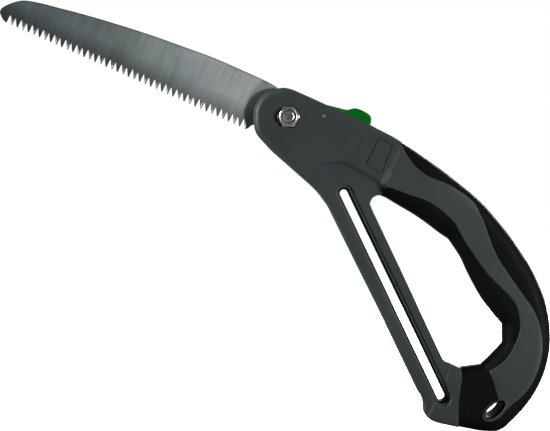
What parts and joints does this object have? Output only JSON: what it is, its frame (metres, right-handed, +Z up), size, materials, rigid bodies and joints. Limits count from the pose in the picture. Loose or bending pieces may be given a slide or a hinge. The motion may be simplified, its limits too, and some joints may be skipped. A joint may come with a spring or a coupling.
{
  "type": "folding pruning saw",
  "caption": "Folding pruning saw with a closed D handle, slotted front strut that houses the blade, soft grip, pivot nut and thumb lock lever.",
  "frame": {"origin": "centre of the saw's box with the blade open, on the parting plane of the two handle halves; the blade pivot's axis passes through (0.0092, 0, 0.0645)", "axes": "+Z up, -X towards the blade's side, the blade rises towards -X at about 24 degrees and the grip runs down towards +X; -Y is the nut side and +Y the screw side"},
  "size_m": [0.3626, 0.024, 0.2838],
  "materials": {
    "shell": "moulded dark grey plastic, fine spark-eroded texture",
    "soft_grip": "matte black soft overmould",
    "channel": "black moulded plastic",
    "blade": "cross-ground steel, brighter bevels on the teeth",
    "plated_steel": "zinc plated, satin",
    "plain_steel": "plain ground steel",
    "locking_ring": "natural nylon",
    "button": "glossy green plastic"
  },
  "bodies": {
    "handle": {"handle_shell_front": "shell", "handle_shell_rear": "shell", "grip_overmould_front": "soft_grip", "grip_overmould_rear": "soft_grip", "blade_guard_channel": "channel", "pivot_bolt": "plated_steel", "pivot_nut": "plated_steel", "nut_locking_ring": "locking_ring", "pivot_bush": "plain_steel", "thrust_washer_front": "plain_steel", "thrust_washer_rear": "plain_steel", "bolt_washer": "plated_steel", "lock_pivot_pin": "plain_steel", "lock_spring": "plain_steel", "shell_screw_1": "plated_steel", "shell_screw_2": "plated_steel", "shell_screw_3": "plated_steel", "shell_screw_4": "plated_steel", "shell_screw_5": "plated_steel", "shell_screw_6": "plated_steel", "shell_screw_7": "plated_steel"},
    "blade": {"saw_blade": "blade"},
    "lock_lever": {"lock_pawl": "plain_steel", "lock_button": "button"}
  },
  "joints": [
    {"name": "blade_fold", "type": "hinge", "parent": "handle", "child": "blade", "pos_m": [0.0092, 0, 0.0645], "axis": [0, -1, 0], "range_deg": [0, 139]},
    {"name": "lock_lever_press", "type": "hinge", "parent": "handle", "child": "lock_lever", "pos_m": [0.0321, 0, 0.0651], "axis": [0, 1, 0], "range_deg": [-8.5, 1], "stiffness_Nm_per_rad": 0.3, "springref_deg": -8.5, "deforming": ["lock_spring"]}
  ]
}
